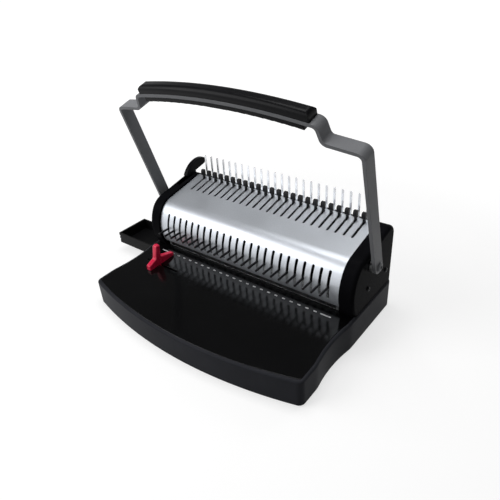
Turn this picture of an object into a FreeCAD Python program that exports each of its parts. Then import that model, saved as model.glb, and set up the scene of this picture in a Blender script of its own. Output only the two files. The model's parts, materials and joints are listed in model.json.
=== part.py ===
import FreeCAD, Part
import math
import os

# A comb binding machine: a lever punch for a row of comb holes, with a comb opener on its deck.
# Millimetres, +Z up, +X to the operator's right, +Y away from the operator. The origin lies on the
# desk, midway between the ends, below the shoulder of the curved cover.

V = FreeCAD.Vector

# Comb pattern
comb_pitch = 14.2875
hole_count = 24
comb_half = (hole_count - 1) * comb_pitch / 2
comb_places = [index * comb_pitch - comb_half for index in range(hole_count)]

# Clearances, and how far a cutter runs past the piece it cuts
slide_gap = 0.3
shaft_gap = 0.05
screw_gap = 0.3
end_gap = 0.5
cut_over = 5.0

# Places along X, counted outwards from the middle
frame_margin = 9.7
frame_thickness = 4.0
cover_overhang = 6.0
cap_width = 22.7
hub_gap = 6.0
bar_thickness = 5.0
base_margin = 2.0
frame_in = comb_half + frame_margin
frame_out = frame_in + frame_thickness
cover_half = frame_out + cover_overhang
cap_in = cover_half + slide_gap
cap_out = cap_in + cap_width
arm_in = cap_out + hub_gap
base_half = cap_out + base_margin

# Places along Y, counted from the shoulder of the cover
deck_rear = 105.5
frame_rear = deck_rear + 4.5
cap_rear = frame_rear + 7.5
base_rear = cap_rear + 3.0
carrier_y = frame_rear - 12.0
tine_y = frame_rear - 3.0
opener_front = 64.0
opener_travel = carrier_y - opener_front
front_corner_y = -147.0
front_bow = 30.0
front_middle_y = front_corner_y - front_bow

# Base and table
front_corner_radius = 10.0
rear_corner_radius = 12.0
waist_y = -62.0
waist_length = 92.0
waist_depth = 4.5
waist_blend_radius = 60.0
foot_height = 4.0
foot_radius = 9.0
foot_inset = 26.0
foot_taper = 1.0
bottom_thickness = 2.0
apron_lift = 2.0
apron_wall = 3.0
apron_edge_radius = 3.5
apron_boss_radius = 6.0
apron_boss_inset = 8.0
apron_screw_length = 9.0
table_thickness = 5.0
table_height = 50.0
table_front_drop = 6.0
table_crease_y = -2.0
table_inset = 4.6
table_gap = 0.2
table_edge_radius = 0.6
ledge_width = 3.0
ledge_height = 4.0
window_gap = 1.0
bottom_top = foot_height + bottom_thickness
table_under = table_height - table_thickness
table_slope = table_front_drop / (table_crease_y - front_middle_y)

# Curved cover
cover_sheet = 1.5
cover_foot_y = -3.0
cover_throat = 11.0
cover_front_height = 57.0
cover_bulge = 6.8
deck_slope = math.radians(11.4)
deck_mark_y = 61.0
deck_mark_rise = 24.0
front_slot_height = 46.0
top_slot_front = opener_front - 4.0
top_slot_rear = deck_rear - 3.0
cover_foot_z = table_height + cover_throat
shoulder_z = cover_foot_z + cover_front_height

# End caps
cap_proud = 4.0
cap_wall = 3.0
cap_edge_radius = 6.0
cap_rear_radius = 17.0
cap_floor_gap = 0.3
cap_shaft_gap = 1.0
cap_boss_radius = 4.5
cap_boss_places = [(36.0, 30.0), (frame_rear - 15.0, 30.0)]

# Punch unit
die_front = 2.0
die_rear = 34.0
die_thickness = 6.0
paper_gap = 5.0
paper_stop_depth = 6.0
guide_front = 4.0
guide_thickness = 8.0
punch_width = 8.0
punch_depth = 3.0
punch_y = 14.0
punch_tip_lift = 1.0
punch_top_drop = 1.0
beam_front = 8.0
beam_rear = 30.0
beam_height = 20.5
beam_lift_gap = 1.3
beam_over_travel = 1.0
beam_tenon_front = 10.0
beam_tenon_rear = 26.0
beam_tenon_inset = 2.0
punch_seat_gap = 0.4
spring_radius = 4.0
spring_wire = 1.4
spring_gap = 0.5
spring_y = 23.5
spring_pocket_depth = 16.5
spring_x = 7 * comb_pitch
die_top = table_height
guide_bottom = die_top + paper_gap
guide_top = guide_bottom + guide_thickness

# Handle
pivot_y = 43.0
shaft_radius = 6.0
roller_radius = 3.5
roller_shaft_gap = 1.0
crank_radius = shaft_radius + roller_shaft_gap + roller_radius
crank_head_room = 11.5
pivot_z = shoulder_z + crank_head_room - crank_radius
handle_tilt = 16.5
handle_swing = 78.0
collar_radius = shaft_radius + 5.0
bush_wall = 3.0
bush_length = 8.0
bar_width = 22.0
bar_bend_radius = 9.0
shelf_height = 203.5
shelf_rise = 6.0
jog_foot_x = arm_in - 51.0
bar_arch_radius = 1040.0
bar_arch_height = 242.0
grip_half = arm_in - 64.5
grip_bend_out = 8.5
grip_play = 0.2
grip_inset = 0.3
grip_height = 11.8
grip_top_radius = 7.5
grip_corner_radius = 2.0
grip_nose_radius = 9.0
grip_plate_inset = 0.3
grip_plate_height = 7.5
grip_plate_short = 9.0
grip_plate_radius = 1.5
grip_screw_places = [45.0, 115.0]
grip_screw_sink = 2.8
grip_screw_hold = 7.0
grip_inner = bar_arch_radius + bar_thickness / 2 + grip_play
grip_outer = grip_inner + grip_height
grip_plate_outer = bar_arch_radius - bar_thickness / 2 - grip_play
grip_plate_inner = grip_plate_outer - grip_plate_height
grip_screw_length = grip_inner + grip_screw_hold - grip_plate_inner - grip_screw_sink
hub_screw_radius = 3.0
hub_screw_length = 14.0
hub_head_radius = 7.0
hub_head_height = 3.2
hub_socket_radius = 3.2

# Crank and fork between the handle shaft and the punch beam
crank_thickness = 6.0
crank_hub_radius = shaft_radius + 4.0
crank_x = frame_in - 16.0
crank_pin_radius = 2.5
roller_width = 5.4
crank_end_radius = roller_radius + 2.0
fork_x = crank_x - 9.0
fork_thickness = 6.0
fork_play = 0.45
fork_prong = 2.5
fork_rear_gap = 0.7
fork_front_gap = 0.6
fork_wall = 4.0
fork_foot_inset = 4.0
fork_foot_height = 5.0
fork_heel_height = 8.0
crank_angle = math.radians(handle_swing / 2)
stroke = 2 * crank_radius * math.sin(crank_angle)
beam_bottom = guide_top + stroke + beam_lift_gap
beam_top = beam_bottom + beam_height
punch_tip = guide_bottom + punch_tip_lift
punch_top = beam_top - punch_top_drop

# Release pins
pin_radius = 1.9
pin_drop = 6.0
pin_outer_y = -31.0
pin_inner_y = 18.5
pin_collar_radius = 3.4
pin_collar_front = 3.5
pin_collar_rear = 5.0
pin_tip_radius = 1.2
pin_slot_gap = 0.4
pin_z = beam_top - pin_drop
front_slot_width = 2 * (pin_radius + pin_slot_gap)

# Comb opener and tines
carrier_depth = 14.0
carrier_height = 8.0
carrier_drop = 5.0
hook_stem_width = 3.2
hook_stem_depth = 4.0
hook_stem_height = 6.0
hook_head_width = 6.6
hook_head_depth = 5.5
hook_head_height = 12.0
hook_head_chamfer = 1.8
hook_head_round = 1.4
hook_root = 1.0
hook_slot_gap = 0.5
top_slot_width = hook_stem_width + 2 * hook_slot_gap
lever_thickness = 10.0
lever_middle_x = (cap_in + cap_out) / 2
lever_stem_depth = 13.0
lever_root = 4.0
lever_slot_depth = 8.0
lever_clearance = 1.4
lever_height = 22.0
lever_reach_front = 20.0
lever_reach_rear = 37.0
lever_crest = 20.0
lever_tip_drop = 5.0
lever_tip_depth = 9.0
lever_tip_undercut = 3.5
lever_corner_radius = 2.5
lever_edge_radius = 1.5
tine_width = 3.6
tine_thickness = 1.6
tine_height = 40.0
tine_bar_depth = 6.0
tine_bar_height = 22.0
tine_bar_drop = 42.0
tine_tip_radius = 1.5
rear_cover_gap = 0.3
rear_sheet = 1.5
rear_top_drop = 1.0
rear_screw_spacing = 8 * comb_pitch
rear_screw_length = 8.0
frame_drop = 6.0
frame_rear_drop = 4.0
flange_width = 16.0
flange_thickness = 4.0
flange_front = 12.0
flange_rear = frame_rear - 6.0
tie_rod_radius = 4.0
tie_rod_places = [(opener_front, 22.0), (frame_rear - 12.0, 22.0), (frame_rear - 26.0, 58.0)]

# Chip drawer
drawer_front = -12.0
drawer_rear = 56.0
drawer_bottom = bottom_top + 12.0
drawer_top = table_under - 5.0
drawer_wall = 2.0
drawer_length = 2 * base_half - 38.0
drawer_out = 104.0
drawer_end_thickness = 4.0
drawer_groove_height = 3.0
drawer_groove_depth = 1.5
drawer_left = -base_half - drawer_out
runner_width = 9.0
runner_lip = 3.0
runner_lip_height = 6.0

# Paper edge guide
guide_x = -comb_half + 14.3
guide_width = 10.0
guide_toe_y = -79.0
guide_heel_y = -21.0
guide_toe_height = 9.0
guide_heel_height = 6.0
post_front = -63.0
post_rear = -51.5
post_top_front = -58.0
post_top_rear = -48.5
post_height = 38.0
crotch_height = 15.0
guide_corner_radius = 3.0
guide_edge_radius = 2.2
guide_stem_y = -56.0
guide_stem_width = 4.0
guide_foot_width = 14.0
guide_foot_height = 3.0
guide_root = 2.0
guide_travel_left = 22.0
guide_travel_right = 40.0
guide_lift = 0.4

# Case screws
screw_radius = 1.7
screw_head_radius = 3.5
screw_head_height = 2.2
screw_socket_radius = 1.6
socket_share = 0.5
head_round = 0.6
flange_screw_places = [(22.0, 11.0), (frame_rear - 18.0, 11.0)]


def box(x0, x1, y0, y1, z0, z1):
    return Part.makeBox(x1 - x0, y1 - y0, z1 - z0, V(x0, y0, z0))


def rod_x(x0, x1, y, z, radius):
    return Part.makeCylinder(radius, x1 - x0, V(x0, y, z), V(1, 0, 0))


def rod_y(y0, y1, x, z, radius):
    return Part.makeCylinder(radius, y1 - y0, V(x, y0, z), V(0, 1, 0))


def rod_z(z0, z1, x, y, radius):
    return Part.makeCylinder(radius, z1 - z0, V(x, y, z0), V(0, 0, 1))


def line(a, b):
    return Part.LineSegment(a, b).toShape()


def arc(a, middle, b):
    return Part.Arc(a, middle, b).toShape()


def prism_x(edges, x0, x1):
    """A solid with a closed (y, z) outline, made of edges in the plane x = 0, from x0 to x1."""
    face = Part.Face(Part.Wire(edges))
    face.translate(V(x0, 0, 0))
    return face.extrude(V(x1 - x0, 0, 0))


def polygon_x(points, x0, x1):
    corners = [V(0, y, z) for y, z in points]
    edges = [line(a, b) for a, b in zip(corners, corners[1:] + corners[:1])]
    return prism_x(edges, x0, x1)


def obround_y(x, z0, z1, width, y0, y1):
    """A cutter for an upright slot with round ends, running along Y."""
    radius = width / 2
    middle = box(x - radius, x + radius, y0, y1, z0 + radius, z1 - radius)
    lower = rod_y(y0, y1, x, z0 + radius, radius)
    upper = rod_y(y0, y1, x, z1 - radius, radius)
    return middle.fuse([lower, upper]).removeSplitter()


def obround_z(x, y0, y1, width, z0, z1):
    """A cutter for a slot along Y with round ends, running through Z."""
    radius = width / 2
    middle = box(x - radius, x + radius, y0 + radius, y1 - radius, z0, z1)
    front = rod_z(z0, z1, x, y0 + radius, radius)
    rear = rod_z(z0, z1, x, y1 - radius, radius)
    return middle.fuse([front, rear]).removeSplitter()


def mirrored(shape):
    return shape.mirror(V(0, 0, 0), V(1, 0, 0))


def both_sides(shape):
    return [shape, mirrored(shape)]


def save(node, solids):
    shape = solids[0] if len(solids) == 1 else Part.makeCompound(solids)
    shape.exportStep("parts/" + node + ".step")


def hex_socket(top, direction, radius, depth):
    """A cutter for a six-sided socket that goes in from top along direction."""
    turns = [math.radians(60 * index) for index in range(6)]
    corners = [V(radius * math.cos(turn), radius * math.sin(turn), 0) for turn in turns]
    prism = Part.Face(Part.makePolygon(corners + corners[:1])).extrude(V(0, 0, depth))
    prism.Placement = FreeCAD.Placement(top, FreeCAD.Rotation(V(0, 0, 1), direction))
    return prism


def round_head_screw(place, direction, length, radius, head_radius, head_height, socket_radius):
    """A round-headed screw whose head seats at place, with its shank along direction."""
    head = Part.makeCylinder(head_radius, head_height, place, direction * -1)
    head = head.makeFillet(head_height * head_round, [head.Edges[0]])
    shank = Part.makeCylinder(radius, length, place, direction)
    top = place - direction * head_height
    socket = hex_socket(top, direction, socket_radius, head_height * socket_share)
    return head.fuse(shank).removeSplitter().cut(socket)


def pan_screw(place, direction, length):
    return round_head_screw(
        place, direction, length, screw_radius,
        screw_head_radius, screw_head_height, screw_socket_radius,
    )


def screw_hole(place, direction, length):
    return Part.makeCylinder(screw_radius + screw_gap, length, place, direction)


# Outline of the curved cover, in the (y, z) plane: a bulged front, a round shoulder and a flat deck.
foot_point = V(0, cover_foot_y, cover_foot_z)
shoulder_point = V(0, 0, shoulder_z)
deck_along = V(0, math.cos(deck_slope), math.sin(deck_slope))
deck_normal = V(0, -math.sin(deck_slope), math.cos(deck_slope))
deck_mark = V(0, deck_mark_y, shoulder_z + deck_mark_rise)
front_chord = shoulder_point - foot_point
front_radius = (front_chord.Length ** 2 / 4 + cover_bulge ** 2) / (2 * cover_bulge)
front_out = V(0, -front_chord.z, front_chord.y).normalize()
front_centre = (foot_point + shoulder_point) * 0.5 - front_out * (front_radius - cover_bulge)
shoulder_in = (front_centre - shoulder_point).normalize()
shoulder_radius = -(shoulder_point - deck_mark).dot(deck_normal) / (1 + shoulder_in.dot(deck_normal))
shoulder_centre = shoulder_point + shoulder_in * shoulder_radius


def deck_point(y, out):
    """The point of the deck line at y, moved out by a distance square to the deck."""
    start = deck_mark + deck_normal * out
    return start + deck_along * ((y - start.y) / deck_along.y)


def deck_z(y, out):
    return deck_point(y, out).z


def round_edge(centre, radius, a, b):
    middle = centre + ((a - centre).normalize() + (b - centre).normalize()).normalize() * radius
    return arc(a, middle, b)


def front_point(z, out):
    """The point of the bulged front at height z, moved out by a distance."""
    radius = front_radius + out
    rise = z - front_centre.z
    return V(0, front_centre.y - math.sqrt(radius ** 2 - rise ** 2), z)


def barrel_edges(out, start_z, rear_y):
    """The cover's outline from the height start_z on the front to rear_y on the deck, and its ends."""
    start = front_point(start_z, out)
    shoulder = front_centre - shoulder_in * (front_radius + out)
    crown = shoulder_centre + deck_normal * (shoulder_radius + out)
    rear = deck_point(rear_y, out)
    front = round_edge(front_centre, front_radius + out, start, shoulder)
    bend = round_edge(shoulder_centre, shoulder_radius + out, shoulder, crown)
    return [front, bend, line(crown, rear)], start, rear


def closed_barrel(out, start_z, rear_y, floor_z):
    """A closed outline: the barrel, an upright rear wall and a flat floor."""
    edges, start, rear = barrel_edges(out, start_z, rear_y)
    rear_foot = V(0, rear_y, floor_z)
    front_foot = V(0, start.y, floor_z)
    edges = edges + [line(rear, rear_foot), line(rear_foot, front_foot)]
    if start_z - floor_z > 0.001:
        edges = edges + [line(front_foot, start)]
    return edges


def plan_prism(inset, z0, z1):
    """The base's plan with its bowed front and waisted sides, set in all round, from z0 to z1."""
    half = base_half - inset
    rear = base_rear - inset
    corner = front_corner_y + inset
    waist_ends = (waist_y + waist_length / 2, waist_y - waist_length / 2)
    edges = [arc(V(half, corner, z0), V(0, front_middle_y + inset, z0), V(-half, corner, z0))]
    edges.append(line(V(half, rear, z0), V(-half, rear, z0)))
    for side in (half, -half):
        waist = V(side - math.copysign(waist_depth, side), waist_y, z0)
        stops = [V(side, y, z0) for y in (rear, *waist_ends, corner)]
        edges = edges + [line(stops[0], stops[1]), arc(stops[1], waist, stops[2]), line(stops[2], stops[3])]
    wire = Part.Wire(Part.__sortEdges__(edges))
    solid = Part.Face(wire).extrude(V(0, 0, z1 - z0))
    rounds = [
        (corner, front_corner_radius - inset),
        (rear, rear_corner_radius - inset),
        (waist_ends[0], waist_blend_radius),
        (waist_ends[1], waist_blend_radius),
    ]
    for y, radius in rounds:
        upright = [
            edge for edge in solid.Edges
            if edge.BoundBox.DiagonalLength - (z1 - z0) < 0.001 and abs(edge.CenterOfMass.y - y) < 0.001
        ]
        solid = solid.makeFillet(radius, upright)
    return solid


def table_z(y):
    return table_height - max(0.0, table_crease_y - y) * table_slope


def below_table(drop, floor_z):
    """A block as wide as the base, under the table's surface lowered by drop."""
    front = front_middle_y - cut_over
    rear = base_rear + cut_over
    outline = [
        (rear, floor_z),
        (rear, table_height - drop),
        (table_crease_y, table_height - drop),
        (front, table_z(front) - drop),
        (front, floor_z),
    ]
    return polygon_x(outline, -base_half - cut_over, base_half + cut_over)


base_corner_bosses = [
    (side * (base_half - apron_boss_inset), y)
    for side in (-1, 1)
    for y in (front_corner_y + foot_inset, base_rear - foot_inset)
]


def top_rim(solid):
    """The edges round the sloping top of a solid that follows the base's plan."""
    rim = []
    for edge in solid.Edges:
        ends_on_top = all(abs(v.Z - table_z(v.Y)) < 0.01 for v in edge.Vertexes)
        is_crease = edge.BoundBox.YLength < 0.001 and abs(edge.CenterOfMass.y - table_crease_y) < 0.01
        if ends_on_top and not is_crease:
            rim.append(edge)
    return rim


def table_top():
    """The black panel, let into the apron's rim and carried on its ledge."""
    panel = plan_prism(table_inset + table_gap, 0, table_height + cut_over).common(below_table(0, 0))
    panel = panel.cut(below_table(table_thickness, -cut_over)).removeSplitter()
    panel = panel.makeFillet(table_edge_radius, top_rim(panel))
    window = box(
        -frame_out - window_gap, frame_out + window_gap,
        die_front - end_gap, frame_rear + window_gap, 0, table_height + cut_over,
    )
    slot_left = guide_x - guide_travel_left - guide_width / 2 - window_gap
    slot_right = guide_x + guide_travel_right + guide_width / 2 + window_gap
    slot_half = guide_stem_width / 2 + slide_gap
    slot_front = guide_stem_y - slot_half
    guide_slot = box(slot_left, slot_right, slot_front, guide_stem_y + slot_half, 0, table_height)
    holes = [
        screw_hole(V(side * (frame_out + x), y, 0), V(0, 0, 1), table_height + cut_over)
        for side in (-1, 1)
        for y, x in flange_screw_places
    ]
    return panel.cut([window, guide_slot] + holes)


def base_apron():
    """The base's wall: a rounded rim round the table, a ledge under it, screw bosses and a doorway."""
    above = table_height + cut_over
    wall = plan_prism(0, apron_lift, above).common(below_table(0, 0)).removeSplitter()
    wall = wall.makeFillet(apron_edge_radius, top_rim(wall))
    hollow = plan_prism(apron_wall, 0, above).common(below_table(table_thickness + ledge_height, 0))
    ledge_hole = plan_prism(table_inset + ledge_width, 0, above)
    rebate = plan_prism(table_inset, 0, above).cut(below_table(table_thickness, -cut_over))
    wall = wall.cut([hollow, ledge_hole, rebate])
    inside = plan_prism(apron_wall / 2, bottom_top, above).common(below_table(table_thickness, 0))
    for x, y in base_corner_bosses:
        wall = wall.fuse(rod_z(bottom_top, above, x, y, apron_boss_radius).common(inside))
    gap = 2 * slide_gap
    doorway = box(
        -base_half - cut_over, -base_half + apron_wall + cut_over,
        drawer_front - gap, drawer_rear + gap, drawer_bottom - gap, drawer_top + gap,
    )
    reach = bottom_top + apron_screw_length + end_gap
    holes = [screw_hole(V(x, y, 0), V(0, 0, 1), reach) for x, y in base_corner_bosses]
    return wall.removeSplitter().cut([doorway] + holes)


def bottom_plate():
    plate = plan_prism(apron_wall + slide_gap, foot_height, bottom_top)
    reach = bottom_top + cut_over
    return plate.cut([screw_hole(V(x, y, 0), V(0, 0, 1), reach) for x, y in base_corner_bosses])


def rubber_feet():
    half = base_half - foot_inset
    front = front_corner_y + foot_inset
    rear = base_rear - foot_inset
    places = [(0, 0), (-half, front), (half, front), (-half, rear), (half, rear)]
    feet = []
    for x, y in places:
        foot = Part.makeCone(foot_radius - foot_taper, foot_radius, foot_height, V(x, y, 0), V(0, 0, 1))
        feet.append(foot)
    return feet


def front_cover():
    outer, outer_start, outer_rear = barrel_edges(0, cover_foot_z, deck_rear)
    inner, inner_start, inner_rear = barrel_edges(-cover_sheet, cover_foot_z, deck_rear)
    outline = outer + inner + [line(outer_start, inner_start), line(outer_rear, inner_rear)]
    wire = Part.Wire(Part.__sortEdges__(outline))
    sheet = Part.Face(wire)
    sheet.translate(V(-cover_half, 0, 0))
    sheet = sheet.extrude(V(2 * cover_half, 0, 0))
    slot_bottom = shoulder_z - front_slot_height
    slot_front = cover_foot_y - cover_bulge - cut_over
    deck_high = deck_z(deck_rear, 0) + cut_over
    cutters = []
    for x in comb_places:
        cutters.append(obround_y(x, slot_bottom, shoulder_z, front_slot_width, slot_front, cut_over))
        deck_slot = obround_z(x, top_slot_front, top_slot_rear, top_slot_width, shoulder_z, deck_high)
        cutters.append(deck_slot)
    return sheet.cut(cutters)


def round_rear(block, rear, radius):
    """The block with its upper rear edge along X rounded."""
    corner = [
        edge for edge in block.Edges
        if edge.BoundBox.XLength > cap_width - 0.01 and abs(edge.CenterOfMass.y - rear) < 0.01
        and edge.CenterOfMass.z > shoulder_z
    ]
    return block.makeFillet(radius, corner)


def end_cap():
    """The right end cap, open towards the machine, with two bosses that reach the side frame."""
    floor = table_height + cap_floor_gap
    shell = prism_x(closed_barrel(cap_proud, floor, cap_rear, floor), cap_in, cap_out)
    shell = round_rear(shell, cap_rear, cap_rear_radius)
    rim = [
        edge for edge in shell.Edges
        if edge.BoundBox.XLength < 0.001 and abs(edge.CenterOfMass.x - cap_out) < 0.001
        and edge.BoundBox.ZMax > floor + 0.01
    ]
    shell = shell.makeFillet(cap_edge_radius, rim)
    inner_out = cap_proud - cap_wall
    hollow_rear = cap_rear - cap_wall
    hollow = prism_x(closed_barrel(inner_out, floor, hollow_rear, floor), frame_out, cap_out - cap_wall)
    hollow = round_rear(hollow, hollow_rear, cap_rear_radius - cap_wall)
    drop = box(frame_out, cap_out - cap_wall, 0, hollow_rear, floor - cut_over, floor + cut_over)
    shell = shell.cut([hollow, drop])
    for y, rise in cap_boss_places:
        boss = rod_x(frame_out + slide_gap, cap_out - cap_wall / 2, y, table_height + rise, cap_boss_radius)
        shell = shell.fuse(boss)
    cuts = [rod_x(frame_out, cap_out + cut_over, pivot_y, pivot_z, shaft_radius + cap_shaft_gap)]
    for y, rise in cap_boss_places:
        cuts.append(screw_hole(V(frame_in, y, table_height + rise), V(1, 0, 0), cap_out))
    return shell.removeSplitter().cut(cuts)


def lever_slot():
    front = carrier_y - lever_stem_depth / 2 - opener_travel * deck_along.y - 2 * slide_gap
    rear = carrier_y + lever_stem_depth / 2 + 2 * slide_gap
    half = lever_thickness / 2 + slide_gap
    low = deck_z(front, 0) - lever_slot_depth
    high = deck_z(rear, cap_proud) + cut_over
    return box(-lever_middle_x - half, -lever_middle_x + half, front, rear, low, high)


def carrier_block(x0, x1, play, front_extra):
    """The opener carrier's section, square to the deck, grown by play and forwards by front_extra."""
    centre = deck_point(carrier_y, -cover_sheet - carrier_drop - carrier_height / 2)
    half = carrier_depth / 2 + play
    high = carrier_height / 2 + play
    corners = [
        centre - deck_along * (half + front_extra) - deck_normal * high,
        centre + deck_along * half - deck_normal * high,
        centre + deck_along * half + deck_normal * high,
        centre - deck_along * (half + front_extra) + deck_normal * high,
    ]
    return polygon_x([(corner.y, corner.z) for corner in corners], x0, x1)


def side_frame():
    """The right side frame: an upright plate with a foot flange, cut for all that passes it."""
    inside = -cover_sheet - slide_gap
    foot = table_height - frame_drop
    edges, start, rear = barrel_edges(inside, cover_foot_z, deck_rear)
    chain = [
        rear,
        V(0, frame_rear, rear.z - frame_rear_drop),
        V(0, frame_rear, foot),
        V(0, die_front, foot),
        V(0, die_front, cover_foot_z),
        start,
    ]
    outline = edges + [line(a, b) for a, b in zip(chain, chain[1:])]
    plate = prism_x(outline, frame_in, frame_out)
    flange = box(
        frame_out - end_gap, frame_out + flange_width,
        flange_front, flange_rear, table_height, table_height + flange_thickness,
    )
    plate = plate.fuse(flange).removeSplitter()
    through = (frame_in - cut_over, frame_out + cut_over)
    slot = box(
        *through, beam_tenon_front - slide_gap, beam_tenon_rear + slide_gap,
        beam_bottom + beam_tenon_inset - stroke - beam_over_travel, beam_top - beam_tenon_inset + slide_gap,
    )
    cuts = [
        slot,
        rod_x(*through, pivot_y, pivot_z, shaft_radius + bush_wall + shaft_gap),
        carrier_block(*through, slide_gap, opener_travel),
    ]
    for y, rise in cap_boss_places:
        cuts.append(screw_hole(V(0, y, table_height + rise), V(1, 0, 0), cap_out))
    for y, x in flange_screw_places:
        cuts.append(screw_hole(V(frame_out + x, y, 0), V(0, 0, 1), table_height + 2 * cut_over))
    return plate.cut(cuts)


def punch_hole(x, z0, z1, play):
    half_width = punch_width / 2 + play
    half_depth = punch_depth / 2 + play
    return box(x - half_width, x + half_width, punch_y - half_depth, punch_y + half_depth, z0, z1)


def slotted_plate(front, z0, z1):
    plate = box(-frame_in, frame_in, front, die_rear, z0, z1)
    return plate.cut([punch_hole(x, z0 - cut_over, z1 + cut_over, slide_gap) for x in comb_places])


def punch_beam():
    bar = box(-frame_in + end_gap, frame_in - end_gap, beam_front, beam_rear, beam_bottom, beam_top)
    tenon_low = beam_bottom + beam_tenon_inset
    tenon_high = beam_top - beam_tenon_inset
    tenon = frame_out - end_gap
    bar = bar.fuse(box(-tenon, tenon, beam_tenon_front, beam_tenon_rear, tenon_low, tenon_high))
    cuts = []
    for x in comb_places:
        cuts.append(punch_hole(x, beam_bottom - cut_over, punch_top + punch_seat_gap, slide_gap))
        cuts.append(rod_y(0, pin_inner_y + end_gap, x, pin_z, pin_radius + shaft_gap))
    for x in (-spring_x, spring_x):
        pocket_top = beam_bottom + spring_pocket_depth
        cuts.append(rod_z(guide_top, pocket_top, x, spring_y, spring_radius + spring_gap))
    return bar.removeSplitter().cut(cuts)


def punches():
    blanks = []
    for x in comb_places:
        blank = punch_hole(x, punch_tip, punch_top, 0)
        blanks.append(blank.cut(rod_y(0, beam_rear, x, pin_z, pin_radius + 2 * shaft_gap)))
    return blanks


def return_springs():
    top = beam_bottom + spring_pocket_depth
    springs = []
    for x in (-spring_x, spring_x):
        tube = rod_z(guide_top, top, x, spring_y, spring_radius)
        springs.append(tube.cut(rod_z(guide_top, top, x, spring_y, spring_radius - spring_wire)))
    return springs


def release_pin(x):
    rod = rod_y(pin_outer_y, pin_inner_y, x, pin_z, pin_radius)
    tip = [edge for edge in rod.Edges if edge.BoundBox.YMax < pin_outer_y + 0.01]
    rod = rod.makeFillet(pin_tip_radius, tip)
    collar = rod_y(pin_collar_front, pin_collar_rear, x, pin_z, pin_collar_radius)
    return rod.fuse(collar).removeSplitter()


def crank_pin_place():
    return pivot_y - crank_radius * math.cos(crank_angle), pivot_z + crank_radius * math.sin(crank_angle)


def beam_fork():
    """A plate on the beam, with a slot open to the rear for the crank's roller."""
    slot_z = crank_pin_place()[1]
    rear = pivot_y - shaft_radius - fork_rear_gap
    opening = roller_radius + fork_play
    front = pivot_y - crank_radius - opening - fork_front_gap
    wall = front - fork_wall
    foot = beam_front + fork_foot_inset
    top = slot_z + opening + fork_prong
    outline = [
        (foot, beam_top),
        (beam_rear, beam_top),
        (rear, beam_top + fork_heel_height),
        (rear, top),
        (front, top),
        (wall, top - fork_wall),
        (wall, beam_top + fork_heel_height),
        (foot, beam_top + fork_foot_height),
    ]
    x0 = fork_x - fork_thickness / 2
    x1 = fork_x + fork_thickness / 2
    plate = polygon_x(outline, x0, x1)
    slot = box(x0, x1, front, rear + cut_over, slot_z - opening, slot_z + opening)
    return plate.cut(slot)


def handle_crank():
    y, z = crank_pin_place()
    x0 = crank_x - crank_thickness / 2
    x1 = crank_x + crank_thickness / 2
    hub = rod_x(x0, x1, pivot_y, pivot_z, crank_hub_radius)
    end = rod_x(x0, x1, y, z, crank_end_radius)
    pin = rod_x(fork_x - fork_thickness / 2, crank_x, y, z, crank_pin_radius)
    bore = rod_x(x0 - cut_over, x1 + cut_over, pivot_y, pivot_z, shaft_radius + shaft_gap)
    return hub.fuse([end, pin]).removeSplitter().cut(bore)


def crank_roller():
    y, z = crank_pin_place()
    x0 = fork_x - roller_width / 2
    x1 = fork_x + roller_width / 2
    return rod_x(x0, x1, y, z, roller_radius).cut(rod_x(x0, x1, y, z, crank_pin_radius + shaft_gap))


def handle_shaft():
    shaft = rod_x(-arm_in, arm_in, pivot_y, pivot_z, shaft_radius)
    collar = rod_x(cap_out + 2 * slide_gap, arm_in, pivot_y, pivot_z, collar_radius)
    shaft = shaft.fuse(both_sides(collar)).removeSplitter()
    depth = hub_screw_length - bar_thickness + end_gap
    tapped = rod_x(arm_in - depth, arm_in + cut_over, pivot_y, pivot_z, hub_screw_radius + shaft_gap)
    return shaft.cut(both_sides(tapped))


def bent_path(points, radius):
    """A path of straight runs joined by tangent arcs of one radius."""
    edges = []
    start = points[0]
    for before, corner, after in zip(points, points[1:], points[2:]):
        back = (before - corner).normalize()
        ahead = (after - corner).normalize()
        half_turn = back.getAngle(ahead) / 2
        reach = radius / math.tan(half_turn)
        centre = corner + (back + ahead).normalize() * (radius / math.sin(half_turn))
        a = corner + back * reach
        b = corner + ahead * reach
        edges.append(line(start, a))
        edges.append(arc(a, centre + (corner - centre).normalize() * radius, b))
        start = b
    edges.append(line(start, points[-1]))
    return Part.Wire(edges)


def tilted(shape):
    """An upright handle piece, leaned forwards about the handle shaft to its rest angle."""
    shape.rotate(V(0, pivot_y, pivot_z), V(1, 0, 0), handle_tilt)
    return shape


def grip_arch_centre():
    return V(0, pivot_y, pivot_z + bar_arch_height - bar_arch_radius)


def arch_point(x):
    """The point at x on the arch of the bar's middle line."""
    return grip_arch_centre() + V(x, 0, math.sqrt(bar_arch_radius ** 2 - x ** 2))


def along_grip(shape, x):
    """A shape made in the middle of the grip, moved along the arch to x."""
    shape.rotate(grip_arch_centre(), V(0, 1, 0), math.degrees(math.asin(x / bar_arch_radius)))
    return shape


def grip_screw_cuts(x):
    """A cutter for one grip screw: a clear hole with a counterbore for the head."""
    foot = grip_arch_centre() + V(0, 0, grip_plate_inner - cut_over)
    head = Part.makeCylinder(screw_head_radius + screw_gap, cut_over + grip_screw_sink, foot, V(0, 0, 1))
    hole = screw_hole(foot, V(0, 0, 1), cut_over + grip_screw_sink + grip_screw_length + end_gap)
    return along_grip(head.fuse(hole), x)


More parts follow.
